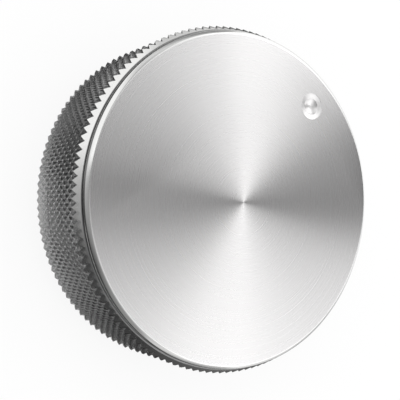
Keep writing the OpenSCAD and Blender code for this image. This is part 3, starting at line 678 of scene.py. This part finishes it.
# %% Metals
# Cool, bluish and satin.
zinc = plated("zinc plated steel", "#c9ccd1", 0.3, 0.08)
# Bright, with a warm cast.
nickel = plated("nickel plated steel", "#c8c5bd", 0.22, 0.06)
# Dark grey with a soft shine.
spring = plated("dark spring steel", "#6b6b6f", 0.35, 0.06)
# Warm and bright.
bronze = plated("phosphor bronze", "#d9a06a", 0.28, 0.05)
# Dull light grey, with the grain of its die.
die_cast = plated("die cast zinc", "#b5b7ba", 0.42, 0.12, bump=0.3)
# Pale grey and a little clouded.
tinned = plated("tinned steel", "#bfc1c4", 0.33, 0.08)
# Clean and bright, as it left the rolls.
stainless = plated("rolled stainless steel", "#c6c6c6", 0.2, 0.05)
print("plated and rolled metals: 7")

# %% Mouldings and coatings
# Black, with the slight orange peel of baked powder.
black_plate = moulded("powder coated steel", "#17181a", 0.5, 0.25, bump=0.35)
# Black, greyed by the glass fibres in its skin.
nylon = moulded("glass filled nylon", "#1c1c1e", 0.55, 0.12, light="#262628")
# Milky white and waxy.
acetal = moulded("acetal", "#dcdad2", 0.4, 0.1, bump=0.1)
# Chestnut brown with a soft shine.
phenolic = moulded("phenolic", "#5a3620", 0.45, 0.08, bump=0.15)
# Dark green with a soft shine.
green_pbt = moulded("green moulded polyester", "#12402c", 0.45, 0.1)
# Flat black.
lcp = moulded("black liquid crystal polymer", "#151515", 0.5, 0.06)
# Nearly black and matt.
epoxy = moulded("moulded epoxy", "#1a1a1b", 0.6, 0.05)
# Matt tan.
ceramic = moulded("fired ceramic", "#8a6c4e", 0.5, 0.05)
# Deep green under a glossy skin.
mask = moulded("solder mask on glass laminate", "#0b4426", 0.28, 0.3, bump=0.1)
# Black that reads as dark grey, because its sparked skin scatters the light.
abs_skin = moulded("spark textured abs", "#1d1e20", 0.52, 0.12, bump=0.5, light="#26272a")
# Dull black with hardly any shine.
silicone = moulded("silicone rubber", "#1b1b1c", 0.75, 0.1, bump=0.2)
print("mouldings and coatings: 11")

# %% [markdown]
# ### Which piece is made of what
#
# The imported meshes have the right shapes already, so they stay, and only their material slots
# are filled. The snap dome was made again, so its faces are painted.

# %% Dress the pieces
for made, names in (
    (zinc, ("hub_screws", "board_screws", "base_screws")),
    (nickel, ("encoder_shaft", "mounting_nut", "usb_shell", "crystal")),
    (spring, ("retaining_clip", "lock_washer")),
    (bronze, ("click_spring", "wiper_contacts")),
    (die_cast, ("encoder_bushing",)),
    (tinned, ("encoder_frame", "encoder_terminals")),
    (black_plate, ("bottom_plate",)),
    (nylon, ("knob_hub",)),
    (acetal, ("switch_plunger",)),
    (phenolic, ("code_disc",)),
    (green_pbt, ("encoder_body",)),
    (lcp, ("usb_tongue",)),
    (epoxy, ("controller_chip",)),
    (ceramic, ("chip_parts",)),
    (mask, ("circuit_board",)),
    (abs_skin, ("base_housing",)),
    (silicone, ("foot_ring",)),
):
    for name in names:
        dress(name, made)
paint(dome, stainless)
print("dressed", sum(1 for n in nodes.values() if n.data.materials), "CAD nodes")

# %% [markdown]
# ## The stage
#
# A pale floor in a white room, as in a product photograph. The floor is a matt paint that takes
# the knob's shadow. The camera and reflections see it mostly as a white glow, which makes it as
# pale as the page without putting more light on the object.

# %% Floor and room
FLOOR_SIZE = 2000 * MM
GLOW_SHARE = 0.85
bpy.ops.mesh.primitive_plane_add(size=FLOOR_SIZE, location=(0, 0, 0))
floor = bpy.context.object
floor.name = "floor"
floor_paint, tree = material("pale floor")
lit = add(tree, "BsdfDiffuse", color=colour("#f6f6f6"))
white = add(tree, "Emission", color=colour("#ffffff"), strength=1)
ray = add(tree, "LightPath").outputs
seen = add(tree, "Math", {0: ray["Is Camera Ray"], 1: ray["Is Glossy Ray"]}, operation="ADD")
clear = add(tree, "Math", {0: seen.outputs[0], 1: ray["Is Transmission Ray"]}, operation="ADD")
share = add(tree, "Math", {0: clear.outputs[0]}, operation="MULTIPLY")
share.inputs[1].default_value = GLOW_SHARE
both = add(tree, "MixShader", {0: share.outputs[0], 1: lit.outputs[0], 2: white.outputs[0]})
add(tree, "OutputMaterial", {"Surface": both.outputs[0]})
floor.data.materials.append(floor_paint)

world = bpy.data.worlds.new("white room")
bpy.context.scene.world = world
world.use_nodes = True
world.node_tree.nodes.clear()
sky = add(world.node_tree, "Background", color=colour("#ffffff"), strength=1)
add(world.node_tree, "OutputWorld", {"Surface": sky.outputs[0]})
print("floor", FLOOR_SIZE, "m square")

# %% [markdown]
# ## Reflection cards
#
# Bright metal shows nothing but its surroundings, so a photographer puts cards round it: its
# dark tones are dark cards, and its bright ones are white. Two cards do it here, a dome for the
# room and one on the floor. Reflections alone see them, so they cast no shadow and light
# nothing. Their greys are painted on the points of their meshes, by direction.


# %% Card helpers
def smooth(value, low, high):
    """Runs gently from 0 at low to 1 at high."""
    share = min(1, max(0, (value - low) / (high - low)))
    return share * share * (3 - 2 * share)


def mix(first, second, share):
    """A value between two others."""
    return first + (second - first) * share


def along(points, value):
    """Straight runs between given points."""
    for (x0, y0), (x1, y1) in zip(points, points[1:]):
        if value <= x1:
            return mix(y0, y1, (value - x0) / (x1 - x0))
    return points[-1][1]


def card(name, rows, shade):
    """A card that only reflections see; shade gives its grey at each place, in mm."""
    wide = len(rows[0])
    places = [Vector(place) for row in rows for place in row]
    faces = [
        (i * wide + j, i * wide + j + 1, (i + 1) * wide + j + 1, (i + 1) * wide + j)
        for i in range(len(rows) - 1)
        for j in range(wide - 1)
    ]
    mesh = bpy.data.meshes.new(name)
    mesh.from_pydata([place * MM for place in places], [], faces)
    grey = mesh.color_attributes.new("grey", "FLOAT_COLOR", "POINT")
    for item, place in zip(grey.data, places):
        item.color = [shade(place)] * 3 + [1]
    made = bpy.data.objects.new(name, mesh)
    bpy.context.scene.collection.objects.link(made)
    stuff, tree = material(name)
    tone = add(tree, "VertexColor", layer_name="grey")
    shader = add(tree, "Emission", {"Color": tone.outputs["Color"]}, strength=1)
    add(tree, "OutputMaterial", {"Surface": shader.outputs[0]})
    mesh.materials.append(stuff)
    made.visible_camera = False
    made.visible_diffuse = False
    made.visible_shadow = False
    print(name, len(faces), "faces")


# %% [markdown]
# ### The room
#
# The dome is an arch that runs over the knob from right to left, brightest high on the right
# and dim on the left, behind the camera, with one dark gap along its middle. The spun face
# spreads its reflections away from its centre. So right and left of the centre it draws along
# the gap, which gives the dark cones, and before and behind it draws across the gap to the
# bright arch on both sides. Low walls stand round the left half. They give the chamfer, the
# wall under it and the shoulder their tones round the rim.

# %% Dome card
ROOM_R = 950
ROOM_STEP = 2
# The dark gap: its lean to the back and half its width, in degrees, how softly it ends in
# front and at the back, and its grey on the right and overhead.
GAP_AT, GAP_HALF = 6, 3.6
GAP_SOFT_FRONT, GAP_SOFT_BACK = 11, 8
GAP_RIGHT, GAP_OVERHEAD = 0.11, 0.32
# The arch's grey at the back on the left, and how much it brightens or dims away from the gap.
BACK_LEFT = 1.5
BACK_LOW, BACK_HIGH, FRONT = 1.2, 0.7, 0.83
# How high the walls stand, in degrees, and how softly they end.
WALL_TALL, WALL_LOW, WALL_SOFT = 50, 28, 12
# The walls' grey by compass direction, in degrees from the right.
WALLS = (
    (40, 1), (65, 0.3), (75, 0.22), (86, 0.28), (98, 0.57), (111, 0.9), (118, 1.05), (151, 1),
    (159, 0.8), (169, 0.5), (178, 0.4), (187, 0.33), (197, 0.2), (206, 0.13), (215, 0.1),
    (232, 0.23), (254, 0.3), (285, 0.3), (310, 0.6),
)
# The arch's brightness by its angle from the right-hand horizon, over the top, to the left.
ARCH = (
    (0, 0.9), (20, 0.95), (40, 1.62), (64, 1.62), (72, 1.3), (80, 0.85), (98, 0.6), (115, 0.32),
    (180, 0.32),
)


def arch_shade(turn, lean):
    """The arch's grey by its angle over the knob and its lean to the back, in degrees."""
    bright = mix(along(ARCH, turn), BACK_LEFT, smooth(turn, 95, 112) * smooth(lean, 4, 14))
    back = mix(BACK_LOW, BACK_HIGH, smooth(turn, 45, 65))
    bright *= mix(1, back, smooth(lean, 8, 26)) * mix(1, FRONT, smooth(-lean, 6, 26))
    soft = GAP_SOFT_BACK if lean > GAP_AT else GAP_SOFT_FRONT
    outside = smooth(abs(lean - GAP_AT), GAP_HALF, GAP_HALF + soft)
    dark = mix(GAP_RIGHT, GAP_OVERHEAD, smooth(turn, 56, 74))
    return mix(mix(dark, bright, outside), 1, smooth(abs(lean), 50, 60))


def wall_height(way):
    """The walls are tall behind the camera, lower beside it and missing on the right."""
    if 100 < way < 260:
        return WALL_TALL
    return WALL_LOW if 60 < way < 300 else 0


def dome_shade(place):
    """The room's grey: the arch, and under it the walls up to their height."""
    lean = math.degrees(math.atan2(place.y, math.hypot(place.x, place.z)))
    turn = math.degrees(math.atan2(place.z, place.x))
    way = math.degrees(math.atan2(place.y, place.x)) % 360
    rise = math.degrees(math.atan2(place.z, math.hypot(place.x, place.y)))
    arch, wall = arch_shade(turn, lean), wall_height(way)
    if not wall:
        return arch
    return mix(along(WALLS, way), arch, smooth(rise, wall - WALL_SOFT, wall + WALL_SOFT))


def dome_place(way, rise):
    """A point of the dome, in mm, by its compass direction and its angle up."""
    flat = math.cos(rise)
    return (
        ROOM_R * math.cos(way) * flat,
        ROOM_R * math.sin(way) * flat,
        ROOM_R * math.sin(rise) + 1,
    )


ways = [math.radians(d) for d in range(0, 361, ROOM_STEP)]
rises = [math.radians(d) for d in range(0, 90, ROOM_STEP)]
card("dome_card", [[dome_place(way, rise) for way in ways] for rise in rises], dome_shade)

# %% [markdown]
# ### The floor
#
# What the skirt mirrors is the desk close by. It is dark round the knob, as the knob's own
# shadow makes it, and out to the edge of a dark card. Under the rim runs a lighter band on the
# side of the camera, which puts a glint on the tips of the knurl. Beyond it a pale strip, on
# the left and in front, gives the chamfer its thin light line at the lower left.

# %% Floor card
CARD_Z = 0.4
CARD_STEP = 4
CARD_RADII = (
    31, 33, 34.5, 36, 38, 40, 42, 43, 44, 46, 47, 50, 58, 64, 70, 76, 110, 200, 500, 950,
)
STRIP_R, STRIP_WAY, STRIP_GREY = (43.5, 46.5), (190, 250), 0.6
BAND_INSIDE = 0.15
# The grey under the rim, close to the knob and far from it, by compass direction.
RIM = (
    (0, 0.2), (90, 0.1), (125, 0.12), (150, 0.6), (165, 1.3), (195, 1.1), (215, 0.85),
    (240, 0.35), (280, 0.1), (360, 0.2),
)
NEAR = (
    (0, 0.12), (80, 0.03), (130, 0.03), (140, 0.1), (150, 0.18), (168, 0.2), (176, 0.08),
    (188, 0.05), (200, 0.04), (240, 0.05), (280, 0.1), (360, 0.12),
)
FAR = (
    (0, 0.95), (60, 0.9), (76, 0.75), (97, 0.63), (105, 1), (152, 1), (163, 0.7), (171, 0.48),
    (179, 0.35), (187, 0.23), (195, 0.06), (250, 0.04), (275, 0.1), (325, 0.3), (350, 0.95),
    (360, 0.95),
)


def floor_shade(place):
    """The desk's grey: the band under the rim, then the dark card, then what lies beyond."""
    way = math.degrees(math.atan2(place.y, place.x)) % 360
    away = math.hypot(place.x, place.y)
    if STRIP_R[0] < away < STRIP_R[1] and STRIP_WAY[0] < way < STRIP_WAY[1]:
        return STRIP_GREY
    rim = along(RIM, way) * mix(BAND_INSIDE, 1, smooth(away, 32, 37))
    close = mix(rim, along(NEAR, way), smooth(away, 38.5, 41))
    return mix(close, along(FAR, way), smooth(away, 64, 76))


card(
    "floor_card",
    [
        [(radius * math.cos(turn), radius * math.sin(turn), CARD_Z) for radius in CARD_RADII]
        for turn in [math.radians(d) for d in range(0, 361, CARD_STEP)]
    ],
    floor_shade,
)

# %% [markdown]
# ## The lamp
#
# One large soft lamp behind and to the left gives the base and the floor their gentle shade.
# The metal doesn't show it, because a mirrored lamp would print a white square on the face.


# %% Lamp
def lamp(name, at, size, watts):
    """A square soft lamp that faces the knob."""
    light = bpy.data.lights.new(name, "AREA")
    light.size = size * MM
    light.energy = watts
    made = bpy.data.objects.new(name, light)
    bpy.context.scene.collection.objects.link(made)
    place = Vector(at) * MM
    made.location = place
    made.rotation_euler = (Vector((0, 0, 20 * MM)) - place).to_track_quat("-Z", "Y").to_euler()
    made.visible_camera = False
    made.visible_glossy = False
    print(name, size, "mm square,", watts, "W")


lamp("soft_lamp", (-300, 300, 500), 400, 1.0)

# %% [markdown]
# ## Finish
#
# The last step sets the picture's view transform to Standard.

# %% View transform
bpy.context.scene.view_settings.view_transform = "Standard"
